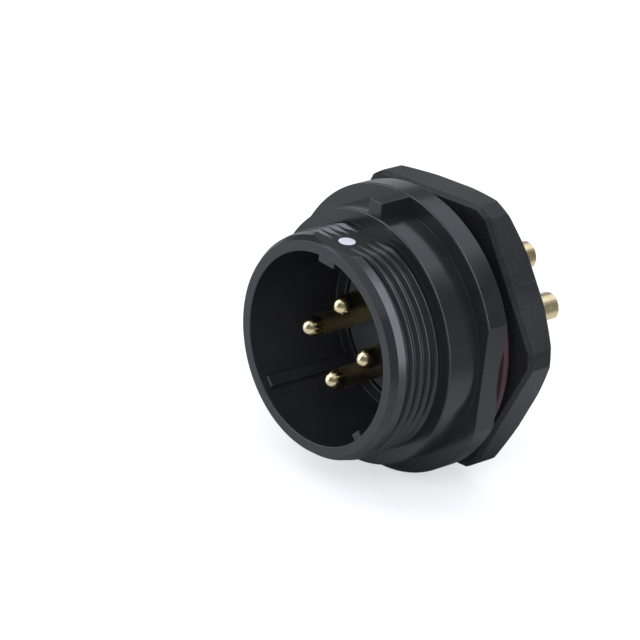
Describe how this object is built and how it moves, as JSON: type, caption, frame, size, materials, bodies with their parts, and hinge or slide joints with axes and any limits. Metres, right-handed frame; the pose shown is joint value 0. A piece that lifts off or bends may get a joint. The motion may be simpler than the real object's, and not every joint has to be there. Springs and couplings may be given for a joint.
{
  "type": "panel-mount circular power connector",
  "caption": "Round threaded power connector that clamps in a panel hole with a nut behind it, with pins in a keyed socket and solder cups at the rear.",
  "frame": {"origin": "on the connector's axis, at the rear face of the flange, where it clamps on the panel's outer face", "axes": "+Y along the axis from the mating end to the solder cups, +Z towards the wide key and the alignment dot, +X to the right as seen from the mating end"},
  "size_m": [0.0442, 0.0404, 0.0422],
  "materials": {
    "shell_plastic": "black moulded nylon, semi-gloss",
    "nut_plastic": "black moulded nylon with a fine matt texture",
    "insulator_plastic": "black moulded plastic, satin",
    "gasket_silicone": "red silicone rubber, satin",
    "seal_silicone": "red silicone rubber",
    "contact_gold": "gold-plated turned brass"
  },
  "bodies": {
    "connector": {"shell": "shell_plastic", "panel_gasket": "gasket_silicone", "front_insulator": "insulator_plastic", "rear_insulator": "insulator_plastic", "retaining_ring": "insulator_plastic", "insulator_seal": "seal_silicone", "contact_1": "contact_gold", "contact_2": "contact_gold", "contact_3": "contact_gold", "contact_4": "contact_gold", "contact_seal_1": "seal_silicone", "contact_seal_2": "seal_silicone", "contact_seal_3": "seal_silicone", "contact_seal_4": "seal_silicone"},
    "nut": {"hex_nut": "nut_plastic"}
  },
  "joints": [
    {"name": "nut_turn", "type": "hinge", "parent": "connector", "child": "nut", "pos_m": [0, 0.0057, 0], "axis": [0, 1, 0], "continuous": true}
  ]
}
